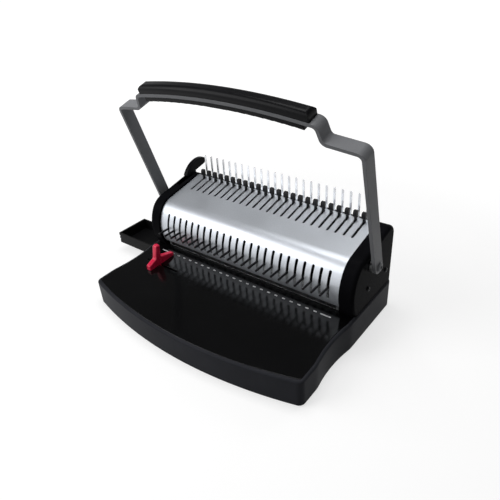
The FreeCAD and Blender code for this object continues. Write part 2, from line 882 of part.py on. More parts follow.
def handle_arm():
    """The right arm: one flat bar from the shaft, over a shelf and a jog, to the middle of the grip."""
    middle = arm_in + bar_thickness / 2
    shelf = pivot_z + shelf_height - bar_thickness / 2
    rest = arch_point(grip_half)
    turn = math.asin(grip_half / bar_arch_radius)
    points = [
        V(middle, pivot_y, pivot_z),
        V(middle, pivot_y, shelf),
        V(jog_foot_x, pivot_y, shelf + shelf_rise),
        rest + V(math.cos(turn), 0, -math.sin(turn)) * grip_bend_out,
        rest,
    ]
    along = arc(rest, arch_point(grip_half / 2), arch_point(grip_play))
    path = Part.Wire(bent_path(points, bar_bend_radius).Edges + [along])
    half = bar_width / 2
    corners = [
        V(arm_in, pivot_y - half, pivot_z),
        V(arm_in + bar_thickness, pivot_y - half, pivot_z),
        V(arm_in + bar_thickness, pivot_y + half, pivot_z),
        V(arm_in, pivot_y + half, pivot_z),
    ]
    section = Part.makePolygon(corners + corners[:1])
    bar = path.makePipeShell([section], True, True)
    bar = bar.fuse(rod_x(arm_in, arm_in + bar_thickness, pivot_y, pivot_z, half)).removeSplitter()
    cuts = [rod_x(cap_out, arm_in + 2 * bar_thickness, pivot_y, pivot_z, hub_screw_radius + screw_gap)]
    cuts += [grip_screw_cuts(x) for x in grip_screw_places]
    return tilted(bar.cut(cuts))


def grip_strip(half_length, half_depth, inner, outer, arc_radius, edge_radius):
    """A moulding along the arch between two radii, with the long edges on one of them rounded."""
    centre = grip_arch_centre()
    sides = [(-half_depth, inner), (half_depth, inner), (half_depth, outer), (-half_depth, outer)]
    corners = [centre + V(0, y, radius) for y, radius in sides]
    section = Part.Face(Part.makePolygon(corners + corners[:1]))
    half_turn = math.degrees(math.asin((grip_half + cut_over) / inner))
    section.rotate(centre, V(0, 1, 0), -half_turn)
    strip = section.revolve(centre, V(0, 1, 0), 2 * half_turn)
    edges = [
        edge for edge in strip.Edges
        if edge.BoundBox.XLength > grip_half and abs(edge.Curve.Radius - arc_radius) < 0.01
    ]
    strip = strip.makeFillet(edge_radius, edges)
    plan = box(
        -half_length, half_length, pivot_y - half_depth, pivot_y + half_depth,
        pivot_z + shelf_height, centre.z + outer + cut_over,
    )
    upright = [edge for edge in plan.Edges if edge.BoundBox.ZLength > grip_height]
    strip = strip.common(plan.makeFillet(grip_corner_radius, upright))
    for x in grip_screw_places:
        strip = strip.cut(both_sides(grip_screw_cuts(x)))
    return strip


def grip_nose():
    """A cutter that rounds the grip's right end between its arched top and its end face."""
    half_depth = bar_width / 2
    centre = grip_arch_centre() - V(0, half_depth, 0)
    x = grip_half - grip_nose_radius
    rise = math.sqrt((grip_outer - grip_nose_radius) ** 2 - x ** 2)
    middle = centre + V(x, 0, rise)
    outwards = V(x, 0, rise).normalize()
    on_arch = middle + outwards * grip_nose_radius
    between = middle + (outwards + V(1, 0, 0)).normalize() * grip_nose_radius
    on_end = middle + V(grip_nose_radius, 0, 0)
    past_end = on_end + V(cut_over, 0, 0)
    corner = V(past_end.x, centre.y, on_arch.z + cut_over)
    above = V(on_arch.x, centre.y, corner.z)
    edges = [arc(on_arch, between, on_end)]
    edges += [line(on_end, past_end), line(past_end, corner), line(corner, above), line(above, on_arch)]
    return Part.Face(Part.Wire(edges)).extrude(V(0, 2 * half_depth, 0))


def handle_grip():
    """The grip: a round-topped moulding along the arch, seated on the two arms."""
    half_depth = bar_width / 2 - grip_inset
    grip = grip_strip(grip_half, half_depth, grip_inner, grip_outer, grip_outer, grip_top_radius)
    return tilted(grip.cut(both_sides(grip_nose())))


def grip_plate():
    """The strip under the arms that the grip is screwed to."""
    half_depth = bar_width / 2 - grip_plate_inset
    strip = grip_strip(
        grip_half - grip_plate_short, half_depth, grip_plate_inner, grip_plate_outer,
        grip_plate_inner, grip_plate_radius,
    )
    return tilted(strip)


def grip_screw(x):
    seat = grip_arch_centre() + V(0, 0, grip_plate_inner + grip_screw_sink)
    return tilted(along_grip(pan_screw(seat, V(0, 0, 1), grip_screw_length), x))


def hub_screw():
    seat = V(arm_in + bar_thickness, pivot_y, pivot_z)
    return round_head_screw(
        seat, V(-1, 0, 0), hub_screw_length, hub_screw_radius,
        hub_head_radius, hub_head_height, hub_socket_radius,
    )


def handle_screws():
    screws = both_sides(hub_screw())
    for x in grip_screw_places:
        screws += both_sides(grip_screw(x))
    return screws


def shaft_bush():
    x0 = frame_in - (bush_length - frame_thickness) / 2
    ring = rod_x(x0, x0 + bush_length, pivot_y, pivot_z, shaft_radius + bush_wall)
    return ring.cut(rod_x(x0, x0 + bush_length, pivot_y, pivot_z, shaft_radius + shaft_gap))


def hook_carrier():
    bar = carrier_block(-frame_out + end_gap, frame_out - end_gap, 0, 0)
    reach = carrier_block(-lever_middle_x - lever_thickness / 2, -frame_out, 0, 0)
    return bar.fuse(reach).removeSplitter()


def carrier_top(y):
    return deck_z(y, -cover_sheet - carrier_drop)


def comb_hook(x):
    """One hook: a slim stem through the deck slot and a wider head with a rounded top."""
    half = hook_stem_depth / 2
    stem_top = deck_z(carrier_y, 0) + hook_stem_height
    front = carrier_y - half
    rear = carrier_y + half
    stem = polygon_x(
        [
            (front, carrier_top(front)),
            (rear, carrier_top(rear)),
            (rear, stem_top + hook_root),
            (front, stem_top + hook_root),
        ],
        x - hook_stem_width / 2, x + hook_stem_width / 2,
    )
    nose = rear - hook_head_depth
    head_top = stem_top + hook_head_height
    head = polygon_x(
        [
            (nose, stem_top + hook_head_chamfer),
            (nose + hook_head_chamfer, stem_top),
            (rear, stem_top),
            (rear, head_top),
            (nose + hook_head_chamfer, head_top),
            (nose, head_top - 2 * hook_head_chamfer),
        ],
        x - hook_head_width / 2, x + hook_head_width / 2,
    )
    crest = [edge for edge in head.Edges if edge.BoundBox.ZMin > head_top - 0.001]
    head = head.makeFillet(hook_head_round, crest)
    return stem.fuse(head).removeSplitter()


def crest_arc(end, crest):
    """An arc from end up to a crest, level at the crest."""
    drop = crest.z - end.z
    radius = ((crest.y - end.y) ** 2 + drop ** 2) / (2 * drop)
    return round_edge(crest - V(0, 0, radius), radius, end, crest)


def opener_lever():
    """The black horn on the carrier's left end: a stem through the cap and a curved head above it."""
    clear = cap_proud + lever_clearance
    front = deck_point(carrier_y - lever_reach_front, clear)
    top = deck_z(carrier_y, clear) + lever_height
    crest = V(0, carrier_y + lever_crest, top)
    tip = V(0, carrier_y + lever_reach_rear, top - lever_tip_drop)
    chin = tip - V(0, lever_tip_undercut, lever_tip_depth)
    brow = crest_arc(front, crest)
    nape = crest_arc(tip, crest)
    x0 = -lever_middle_x - lever_thickness / 2
    x1 = -lever_middle_x + lever_thickness / 2
    head = prism_x([brow, nape, line(tip, chin), line(chin, front)], x0, x1)
    corners = [
        edge for edge in head.Edges
        if edge.BoundBox.XLength > lever_thickness - 0.01 and edge.CenterOfMass.z < top - 0.01
    ]
    head = head.makeFillet(lever_corner_radius, corners)
    rims = [edge for edge in head.Edges if edge.BoundBox.XLength < 0.001]
    head = head.makeFillet(lever_edge_radius, rims)
    half = lever_stem_depth / 2
    stem_front = carrier_y - half
    stem_rear = carrier_y + half
    stem = polygon_x(
        [
            (stem_front, carrier_top(stem_front)),
            (stem_rear, carrier_top(stem_rear)),
            (stem_rear, deck_z(stem_rear, clear) + lever_root),
            (stem_front, deck_z(stem_front, clear) + lever_root),
        ],
        x0, x1,
    )
    return head.fuse(stem).removeSplitter()


def rear_cover_places():
    return [(x, tine_bar_middle()) for x in (-rear_screw_spacing, 0, rear_screw_spacing)]


def tine_bar_top():
    return deck_z(tine_y, 0) - tine_bar_drop + tine_bar_height


def tine_bar_middle():
    return tine_bar_top() - tine_bar_height / 2


def tine_bar():
    top = tine_bar_top()
    bar = box(-frame_in, frame_in, tine_y - tine_bar_depth, tine_y, top - tine_bar_height, top)
    for x, z in rear_cover_places():
        bar = bar.fuse(rod_y(tine_y - end_gap, frame_rear + rear_cover_gap, x, z, screw_head_radius))
    holes = [screw_hole(V(x, 0, z), V(0, 1, 0), base_rear) for x, z in rear_cover_places()]
    return bar.removeSplitter().cut(holes)


def comb_tine(x):
    foot = tine_bar_top() - tine_bar_height
    tip = deck_z(tine_y, 0) + tine_height
    half = tine_width / 2
    strip = box(x - half, x + half, tine_y, tine_y + tine_thickness, foot, tip)
    top_edges = [edge for edge in strip.Edges if edge.BoundBox.ZMin > tip - 0.01]
    corners = [edge for edge in top_edges if edge.BoundBox.XLength < 0.001]
    return strip.makeFillet(tine_tip_radius, corners)


def rear_cover():
    face = frame_rear + rear_cover_gap
    top = deck_z(deck_rear, 0) - rear_top_drop
    sheet = box(-cover_half, cover_half, face, face + rear_sheet, table_height + cap_floor_gap, top)
    return sheet.cut([screw_hole(V(x, 0, z), V(0, 1, 0), base_rear) for x, z in rear_cover_places()])


def tie_rod(y, rise):
    return rod_x(-frame_in, frame_in, y, table_height + rise, tie_rod_radius)


def chip_drawer():
    right = drawer_left + drawer_length
    tray = box(drawer_left, right, drawer_front, drawer_rear, drawer_bottom, drawer_top)
    inside = box(
        drawer_left + drawer_end_thickness, right - drawer_wall,
        drawer_front + drawer_wall, drawer_rear - drawer_wall, drawer_bottom + drawer_wall, table_under,
    )
    end_height = drawer_top - drawer_bottom
    cuts = [inside]
    for share in (1 / 3, 2 / 3):
        middle = drawer_bottom + end_height * share
        low = middle - drawer_groove_height / 2
        high = middle + drawer_groove_height / 2
        depth = drawer_left + drawer_groove_depth
        cuts.append(box(drawer_left - cut_over, depth, drawer_front, drawer_rear, low, high))
    return tray.cut(cuts)


def drawer_runner(edge_y, outwards):
    """A rail along X under one side of the drawer, with a lip outside it."""
    x0 = -base_half + apron_wall + end_gap
    x1 = drawer_left + drawer_length + drawer_out
    seat = drawer_bottom - slide_gap
    lip_inner = edge_y + outwards * slide_gap
    lip_outer = lip_inner + outwards * runner_lip
    rail_inner = edge_y - outwards * runner_width
    rail_y = sorted([rail_inner, lip_outer])
    lip_y = sorted([lip_inner, lip_outer])
    rail = box(x0, x1, *rail_y, bottom_top, seat)
    lip = box(x0, x1, *lip_y, bottom_top, seat + runner_lip_height)
    return rail.fuse(lip).removeSplitter()


def edge_guide():
    """The red paper guide: a post on a toe and a heel, and a foot hooked under the table slot."""
    x0 = guide_x - guide_width / 2
    x1 = guide_x + guide_width / 2
    sole = [(y, table_z(y) + guide_lift) for y in (guide_heel_y, guide_toe_y)]
    outline = sole + [
        (guide_toe_y, table_z(guide_toe_y) + guide_toe_height),
        (post_front, table_z(post_front) + crotch_height),
        (post_top_front, table_z(post_top_front) + post_height),
        (post_top_rear, table_z(post_top_rear) + post_height),
        (post_rear, table_z(post_rear) + crotch_height),
        (guide_heel_y, table_z(guide_heel_y) + guide_heel_height),
    ]
    body = polygon_x(outline, x0, x1)
    sole_top = table_z(guide_heel_y) + guide_lift
    corners = [
        edge for edge in body.Edges
        if edge.BoundBox.XLength > guide_width - 0.01 and edge.CenterOfMass.z > sole_top + 0.01
    ]
    body = body.makeFillet(guide_corner_radius, corners)
    rims = [
        edge for edge in body.Edges
        if edge.BoundBox.XLength < 0.001 and edge.BoundBox.ZMax > sole_top + 0.01
    ]
    body = body.makeFillet(guide_edge_radius, rims)
    seat = table_z(guide_stem_y)
    stem_half = guide_stem_width / 2
    foot_half = guide_foot_width / 2
    foot_top = seat - table_thickness - 2 * slide_gap
    stem_foot = foot_top - end_gap
    stem = box(x0, x1, guide_stem_y - stem_half, guide_stem_y + stem_half, stem_foot, seat + guide_root)
    foot_bottom = foot_top - guide_foot_height
    foot = box(x0, x1, guide_stem_y - foot_half, guide_stem_y + foot_half, foot_bottom, foot_top)
    return body.fuse([stem, foot]).removeSplitter()


def case_screws():
    screws = []
    for x, y in base_corner_bosses:
        screws.append(pan_screw(V(x, y, foot_height), V(0, 0, 1), bottom_thickness + apron_screw_length))
    for side in (-1, 1):
        for y, x in flange_screw_places:
            seat = V(side * (frame_out + x), y, table_height + flange_thickness)
            screws.append(pan_screw(seat, V(0, 0, -1), flange_thickness + table_thickness + end_gap))
        for y, rise in cap_boss_places:
            seat = V(side * cap_out, y, table_height + rise)
            screws.append(pan_screw(seat, V(-side, 0, 0), cap_out - frame_in - end_gap))
    for x, z in rear_cover_places():
        seat = V(x, frame_rear + rear_cover_gap + rear_sheet, z)
        screws.append(pan_screw(seat, V(0, -1, 0), rear_screw_length))
    return screws


os.makedirs("parts", exist_ok=True)

right_cap = end_cap()
right_frame = side_frame()
right_arm = handle_arm()

save("table_top", [table_top()])
save("base_apron", [base_apron()])
save("bottom_plate", [bottom_plate()])
save("rubber_feet", rubber_feet())
save("front_cover", [front_cover()])
save("rear_cover", [rear_cover()])
save("right_end_cap", [right_cap])
save("left_end_cap", [mirrored(right_cap).cut(lever_slot())])
save("right_side_frame", [right_frame])
save("left_side_frame", [mirrored(right_frame)])
save("die_plate", [slotted_plate(die_front, die_top - die_thickness, die_top)])
save("guide_plate", [slotted_plate(guide_front, guide_bottom, guide_top)])
save("paper_stop", [box(-frame_in, frame_in, die_rear - paper_stop_depth, die_rear, die_top, guide_bottom)])
save("tie_rods", [tie_rod(y, rise) for y, rise in tie_rod_places])
save("shaft_bushes", both_sides(shaft_bush()))
save("tine_bar", [tine_bar()])
save("comb_tines", [comb_tine(x) for x in comb_places])
save("drawer_runners", [drawer_runner(drawer_front, -1), drawer_runner(drawer_rear, 1)])
save("case_screws", case_screws())
save("handle_shaft", [handle_shaft()])
save("right_handle_arm", [right_arm])
save("left_handle_arm", [mirrored(right_arm)])
save("handle_grip", [handle_grip()])
save("grip_plate", [grip_plate()])
save("handle_screws", handle_screws())
save("handle_cranks", both_sides(handle_crank()))
save("crank_rollers", both_sides(crank_roller()))
save("punch_beam", [punch_beam()])
save("beam_forks", both_sides(beam_fork()))
save("punches", punches())
save("return_springs", return_springs())
save("hook_carrier", [hook_carrier()])
save("comb_hooks", [comb_hook(x) for x in comb_places])
save("opener_lever", [opener_lever()])
save("chip_drawer", [chip_drawer()])
save("edge_guide", [edge_guide()])
for number, place in enumerate(comb_places, start=1):
    save("release_pin_%02d" % number, [release_pin(place)])

print("stroke %.3f mm, beam per radian %.4f mm" % (stroke, stroke / math.radians(handle_swing)))
print("deck along", tuple(round(value, 5) for value in deck_along))
print("pivot", pivot_y, pivot_z, "pin height", round(pin_z, 3))
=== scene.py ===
"""Looks of a comb binding machine: finishes for its CAD pieces, its printed index marks and a studio."""

import json
import math

import bmesh
import bpy
from mathutils import Matrix, Vector


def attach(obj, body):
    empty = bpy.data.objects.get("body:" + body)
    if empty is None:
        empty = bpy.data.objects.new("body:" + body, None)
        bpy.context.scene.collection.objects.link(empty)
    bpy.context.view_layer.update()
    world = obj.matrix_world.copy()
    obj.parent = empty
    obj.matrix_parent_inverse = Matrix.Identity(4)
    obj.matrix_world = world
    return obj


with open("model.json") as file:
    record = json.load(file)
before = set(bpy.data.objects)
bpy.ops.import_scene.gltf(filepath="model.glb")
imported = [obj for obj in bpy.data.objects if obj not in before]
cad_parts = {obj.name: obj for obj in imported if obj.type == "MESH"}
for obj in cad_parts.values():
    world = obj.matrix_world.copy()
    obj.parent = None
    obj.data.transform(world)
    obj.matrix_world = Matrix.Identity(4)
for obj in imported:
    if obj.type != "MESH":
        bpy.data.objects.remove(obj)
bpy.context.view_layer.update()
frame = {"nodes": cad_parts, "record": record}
slot_of_node = {row["node"]: row["material_slot"] for row in frame["record"]["subparts"]}
nodes_of_slot = {}
for node_name, slot_name in slot_of_node.items():
    nodes_of_slot.setdefault(slot_name, []).append(node_name)

bl_info = {
    "name": "Comb binding machine",
    "version": (1, 0, 0),
    "blender": (4, 5, 0),
    "location": "View3D > Sidebar > Binder",
    "description": "Finishes and details of a comb binding machine",
    "category": "Object",
}

COMB_PITCH = 0.0142875
COMB_COUNT = 24
COMB_PLACES = [(index - (COMB_COUNT - 1) / 2) * COMB_PITCH for index in range(COMB_COUNT)]
TABLE_HEIGHT = 0.050
TABLE_CREASE = -0.002
TABLE_SLOPE = 0.006 / 0.175
END_MARK_X = 0.168
MARK_ROUNDING = 0.45
FLOOR_REACH = 20.0
LIGHT_TARGET = (0, 0, 0.12)
SENSOR_WIDTH = 36.0
LENS_LENGTH = 36.27
CAMERA_PLACE = (0.45658, -0.52579, 0.53293)
CAMERA_RIGHT = (0.7896, 0.6104, -0.0618)
CAMERA_VIEW = (-0.5438, 0.6496, -0.5315)


def table_z(y):
    """Height of the table's sloping surface."""
    return TABLE_HEIGHT - max(0.0, TABLE_CREASE - y) * TABLE_SLOPE


def colour(name, note, default):
    return bpy.props.FloatVectorProperty(
        name=name, description=note, default=default, subtype="COLOR", size=3, min=0, max=1
    )


def length(name, note, default):
    return bpy.props.FloatProperty(
        name=name, description=note, default=default, unit="LENGTH", min=0, precision=5
    )


class BinderColours(bpy.types.PropertyGroup):
    """Colours of the machine's finishes, in linear light."""

    table: colour("Table", "Glossy black of the paper table", (0.0022, 0.0023, 0.0026))
    apron: colour("Apron", "Satin dark grey of the base", (0.028, 0.029, 0.034))
    cover: colour("Cover", "Silver paint of the curved cover", (0.60, 0.63, 0.675))
    cap: colour("Caps", "Glossy black of the end caps", (0.0055, 0.0055, 0.0066))
    arm: colour("Arms", "Silver-grey paint of the handle arms", (0.19, 0.194, 0.204))
    grip: colour("Grip", "Black of the handle grip", (0.006, 0.006, 0.007))
    drawer: colour("Drawer", "Satin black of the chip drawer", (0.006, 0.006, 0.0065))
    rubber: colour("Rubber", "Black of the rubber feet", (0.012, 0.012, 0.012))
    sheet: colour("Sheet steel", "Black paint of the bottom plate and rear cover", (0.012, 0.012, 0.013))
    frame: colour("Frame", "Grey paint of the frame inside", (0.10, 0.105, 0.11))
    zinc: colour("Zinc", "Plating of the tie rods and the hook carrier", (0.42, 0.42, 0.43))
    bush: colour("Bushes", "Bearing metal of the bushes and rollers", (0.52, 0.35, 0.11))
    hook: colour("Hooks", "Black coating of the hooks and pins", (0.006, 0.006, 0.008))
    tine: colour("Tines", "Bright steel of the tines", (0.80, 0.81, 0.83))
    steel: colour("Tool steel", "Ground steel of the punching tool", (0.46, 0.47, 0.48))
    guide: colour("Edge guide", "Red of the paper edge guide", (0.78, 0.014, 0.070))
    print: colour("Print", "White of the printed index marks", (0.46, 0.47, 0.48))
    floor: colour("Floor", "Pale floor under the machine", (0.42, 0.42, 0.42))


class BinderSizes(bpy.types.PropertyGroup):
    """Sizes of the printed details."""

    mark_length: length("Mark length", "Length of one printed index mark", 0.0056)
    mark_width: length("Mark width", "Width of the printed index marks", 0.0023)
    end_mark_length: length("End mark length", "Length of the bar at each end of the marks", 0.018)
    mark_row_y: length("Mark row", "Distance of the row of marks in front of the shoulder", 0.019)
    print_lift: length("Print thickness", "Thickness of the printed ink", 0.00012)


def plain(value):
    """A colour with full opacity."""
    return (value[0], value[1], value[2], 1.0)


def add_node(tree, kind, inputs=None, **options):
    """A shader node with its options set, and each input set to a value or linked to a socket."""
    made = tree.nodes.new(kind)
    for option, value in options.items():
        setattr(made, option, value)
    for name, value in (inputs or {}).items():
        socket = made.inputs[name]
        if isinstance(value, bpy.types.NodeSocket):
            tree.links.new(value, socket)
        else:
            socket.default_value = value
    return made


def new_finish(name):
    """A material with its tree, its shader and its Object coordinates."""
    material = bpy.data.materials.new(name)
    material.use_nodes = True
    tree = material.node_tree
    shader = tree.nodes["Principled BSDF"]
    place = add_node(tree, "ShaderNodeTexCoord").outputs["Object"]
    return material, tree, shader, place


def noise(tree, place, scale, detail=4.0, stretch=(1, 1, 1)):
    mapped = add_node(tree, "ShaderNodeMapping", {"Vector": place, "Scale": stretch})
    made = add_node(
        tree, "ShaderNodeTexNoise",
        {"Vector": mapped.outputs["Vector"], "Scale": scale, "Detail": detail, "Roughness": 0.6},
    )
    return made.outputs["Fac"]


def maths(tree, operation, first, second):
    return add_node(tree, "ShaderNodeMath", {0: first, 1: second}, operation=operation).outputs["Value"]


def spread(tree, value, low, high, start=0.3, end=0.7):
    made = add_node(
        tree, "ShaderNodeMapRange",
        {"Value": value, "From Min": start, "From Max": end, "To Min": low, "To Max": high},
    )
    return made.outputs["Result"]


def looks_at(tree):
    """1 for a ray that looks straight at the background, in a mirror or through glass, and 0 for light."""
    seen = add_node(tree, "ShaderNodeLightPath").outputs
    mirrored = maths(tree, "MAXIMUM", seen["Is Glossy Ray"], seen["Is Transmission Ray"])
    return maths(tree, "MAXIMUM", seen["Is Camera Ray"], mirrored)


def tint(tree, value, shade, dark, light):
    """A colour that varies between a darker and a lighter shade of itself."""
    ramp = add_node(tree, "ShaderNodeValToRGB", {"Fac": value})
    ramp.color_ramp.elements[0].position = 0.3
    ramp.color_ramp.elements[1].position = 0.7
    ramp.color_ramp.elements[0].color = plain([channel * dark for channel in shade])
    ramp.color_ramp.elements[1].color = plain([min(1.0, channel * light) for channel in shade])
    return ramp.outputs["Color"]


def rounded_normal(tree, radius):
    return add_node(tree, "ShaderNodeBevel", {"Radius": radius}, samples=6).outputs["Normal"]


def bump(tree, height, strength, distance, normal):
    made = add_node(
        tree, "ShaderNodeBump",
        {"Height": height, "Strength": strength, "Distance": distance, "Normal": normal},
    )
    return made.outputs["Normal"]


def edge_wear(tree, place, rounded, amount):
    """How far an edge is worn: most at sharp outer edges, in uneven patches."""
    flat = add_node(tree, "ShaderNodeNewGeometry").outputs["Normal"]
    turn = add_node(tree, "ShaderNodeVectorMath", {0: rounded, 1: flat}, operation="DOT_PRODUCT")
    edge = spread(tree, turn.outputs["Value"], low=0.0, high=1.0, start=0.985, end=0.86)
    uneven = noise(tree, place, scale=90.0, detail=6.0)
    patches = spread(tree, uneven, low=0.0, high=amount, start=0.42, end=0.66)
    return maths(tree, "MULTIPLY", edge, patches)


def worn(tree, wear, finish, bare):
    """A colour that gives way to the bare one where it is worn."""
    made = add_node(tree, "ShaderNodeMix", {"Factor": wear}, data_type="RGBA")
    sockets = {socket.identifier: socket for socket in list(made.inputs) + list(made.outputs)}
    tree.links.new(finish, sockets["A_Color"])
    sockets["B_Color"].default_value = plain(bare)
    return sockets["Result_Color"]


def moulded(name, shade, roughness, grain, depth, edge, gloss=0.25, scuff=0.02):
    """Moulded plastic: a fine grain, patchy gloss, slightly uneven colour and scuffed edges."""
    material, tree, shader, place = new_finish(name)
    fine = noise(tree, place, scale=grain, detail=3.0)
    broad = noise(tree, place, scale=14.0, detail=5.0)
    rounded = rounded_normal(tree, edge)
    wear = edge_wear(tree, place, rounded, amount=0.8)
    tinted = tint(tree, broad, shade, dark=0.82, light=1.22)
    scuffed = [channel + scuff for channel in shade]
    tree.links.new(worn(tree, wear, tinted, scuffed), shader.inputs["Base Color"])
    patchy = spread(tree, broad, low=roughness * 0.85, high=roughness * 1.2)
    dulled = maths(tree, "MULTIPLY", wear, 0.2)
    tree.links.new(maths(tree, "ADD", patchy, dulled), shader.inputs["Roughness"])
    grained = bump(tree, fine, strength=0.35, distance=depth, normal=rounded)
    tree.links.new(grained, shader.inputs["Normal"])
    shader.inputs["Specular IOR Level"].default_value = gloss
    return material


def painted(name, shade, metallic, roughness, flake, edge, gloss=0.5, bare=(0.42, 0.42, 0.43)):
    """Paint on metal: fine bright flakes, a faint orange peel, and bare metal at worn edges."""
    material, tree, shader, place = new_finish(name)
    flakes = noise(tree, place, scale=flake, detail=2.0)
    peel = noise(tree, place, scale=420.0, detail=2.0)
    broad = noise(tree, place, scale=11.0, detail=5.0)
    rounded = rounded_normal(tree, edge)
    wear = edge_wear(tree, place, rounded, amount=0.7)
    tinted = tint(tree, flakes, shade, dark=0.88, light=1.14)
    tree.links.new(worn(tree, wear, tinted, bare), shader.inputs["Base Color"])
    patchy = spread(tree, broad, low=roughness * 0.9, high=roughness * 1.15)
    tree.links.new(patchy, shader.inputs["Roughness"])
    peeled = bump(tree, peel, strength=0.18, distance=0.00006, normal=rounded)
    tree.links.new(peeled, shader.inputs["Normal"])
    shader.inputs["Metallic"].default_value = metallic
    shader.inputs["Specular IOR Level"].default_value = gloss
    return material


def ground_metal(name, shade, roughness, stretch, edge):
    """Bare metal with the fine lines of grinding or rolling."""
    material, tree, shader, place = new_finish(name)
    lines = noise(tree, place, scale=900.0, detail=4.0, stretch=stretch)
    stain = noise(tree, place, scale=60.0, detail=5.0)
    tree.links.new(tint(tree, stain, shade, dark=0.86, light=1.1), shader.inputs["Base Color"])
    patchy = spread(tree, lines, low=roughness * 0.7, high=roughness * 1.4)
    tree.links.new(patchy, shader.inputs["Roughness"])
    lined = bump(tree, lines, strength=0.25, distance=0.00004, normal=rounded_normal(tree, edge))
    tree.links.new(lined, shader.inputs["Normal"])
    shader.inputs["Metallic"].default_value = 1.0
    return material


def finish_nodes(material, *slots):
    """Gives a finish to every CAD piece of these slots."""
    for slot in slots:
        for name in nodes_of_slot[slot]:
            mesh = frame["nodes"][name].data
            mesh.materials.clear()
            mesh.materials.append(material)


def new_piece(name, form, material, body):
    """An object from a bmesh, at the origin, that rides on a body."""
    mesh = bpy.data.meshes.new(name)
    bmesh.ops.recalc_face_normals(form, faces=form.faces)
    form.to_mesh(mesh)
    form.free()
    mesh.materials.append(material)
    piece = bpy.data.objects.new(name, mesh)
    bpy.context.scene.collection.objects.link(piece)
    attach(piece, body)
    return piece


def add_block(form, centre, size):
    """A box in a bmesh, and its vertices."""
    made = bmesh.ops.create_cube(form, size=1.0)["verts"]
    bmesh.ops.scale(form, vec=size, verts=made)
    bmesh.ops.translate(form, vec=centre, verts=made)
    return made


class BINDER_OT_base(bpy.types.Operator):
    """Finish the table, the apron, the bottom plate, the feet and the drawer"""

    bl_idname = "binder.base"
    bl_label = "Base and drawer"

    def execute(self, context):
        colours = context.scene.binder_colours
        table = moulded(
            "table_gloss", colours.table,
            roughness=0.14, grain=1500.0, depth=0.00002, edge=0.0005, gloss=0.30,
        )
        apron = moulded(
            "apron_satin", colours.apron,
            roughness=0.38, grain=1300.0, depth=0.00006, edge=0.0008, gloss=0.02,
        )
        drawer = moulded(
            "drawer_satin", colours.drawer,
            roughness=0.36, grain=1300.0, depth=0.00006, edge=0.0007, gloss=0.06,
        )
        rubber = moulded(
            "foot_rubber", colours.rubber,
            roughness=0.8, grain=900.0, depth=0.0001, edge=0.0006,
        )
        sheet = painted(
            "sheet_black", colours.sheet,
            metallic=0.0, roughness=0.5, flake=1800.0, edge=0.0004,
        )
        finish_nodes(table, "table_black")
        finish_nodes(apron, "apron_grey")
        finish_nodes(drawer, "drawer_black")
        finish_nodes(rubber, "foot_rubber")
        finish_nodes(sheet, "plate_black")
        return {"FINISHED"}


class BINDER_OT_cover(bpy.types.Operator):
    """Finish the curved cover and the end caps"""

    bl_idname = "binder.cover"
    bl_label = "Cover and end caps"

    def execute(self, context):
        colours = context.scene.binder_colours
        cover = painted(
            "cover_paint", colours.cover,
            metallic=0.8, roughness=0.42, flake=2600.0, edge=0.0004, gloss=0.4, bare=(0.7, 0.7, 0.72),
        )
        cap = moulded(
            "cap_gloss", colours.cap,
            roughness=0.26, grain=1500.0, depth=0.00003, edge=0.0007, gloss=0.004,
        )
        finish_nodes(cover, "cover_silver")
        finish_nodes(cap, "cap_black")
        return {"FINISHED"}


class BINDER_OT_handle(bpy.types.Operator):
    """Finish the handle's arms and grip"""

    bl_idname = "binder.handle"
    bl_label = "Handle"

    def execute(self, context):
        colours = context.scene.binder_colours
        arm = painted(
            "arm_paint", colours.arm,
            metallic=0.0, roughness=0.42, flake=2200.0, edge=0.0008, gloss=0.1,
        )
        grip = moulded(
            "grip_gloss", colours.grip,
            roughness=0.3, grain=1100.0, depth=0.00003, edge=0.0006, gloss=0.08,
        )
        finish_nodes(arm, "arm_grey")
        finish_nodes(grip, "grip_black")
        return {"FINISHED"}


class BINDER_OT_punch(bpy.types.Operator):
    """Finish the punching tool, its frame and its fastenings"""

    bl_idname = "binder.punch"
    bl_label = "Punching tool"

    def execute(self, context):
        colours = context.scene.binder_colours
        body = painted(
            "frame_paint", colours.frame,
            metallic=0.0, roughness=0.48, flake=1500.0, edge=0.0005,
        )
        tool = ground_metal(
            "tool_steel", colours.steel,
            roughness=0.3, stretch=(0.06, 1, 1), edge=0.0003,
        )
        zinc = ground_metal(
            "screw_zinc", colours.zinc,
            roughness=0.34, stretch=(1, 1, 1), edge=0.0003,
        )
        oxide = painted(
            "screw_oxide", colours.hook,
            metallic=0.3, roughness=0.4, flake=1800.0, edge=0.0003, gloss=0.2, bare=(0.08, 0.08, 0.085),
        )
        bush = ground_metal(
            "bush_metal", colours.bush,
            roughness=0.3, stretch=(1, 0.1, 0.1), edge=0.0003,
        )
        finish_nodes(body, "frame_grey")
        finish_nodes(tool, "tool_steel")
        finish_nodes(zinc, "screw_steel")
        finish_nodes(oxide, "screw_black")
        finish_nodes(bush, "bush_brass")
        return {"FINISHED"}


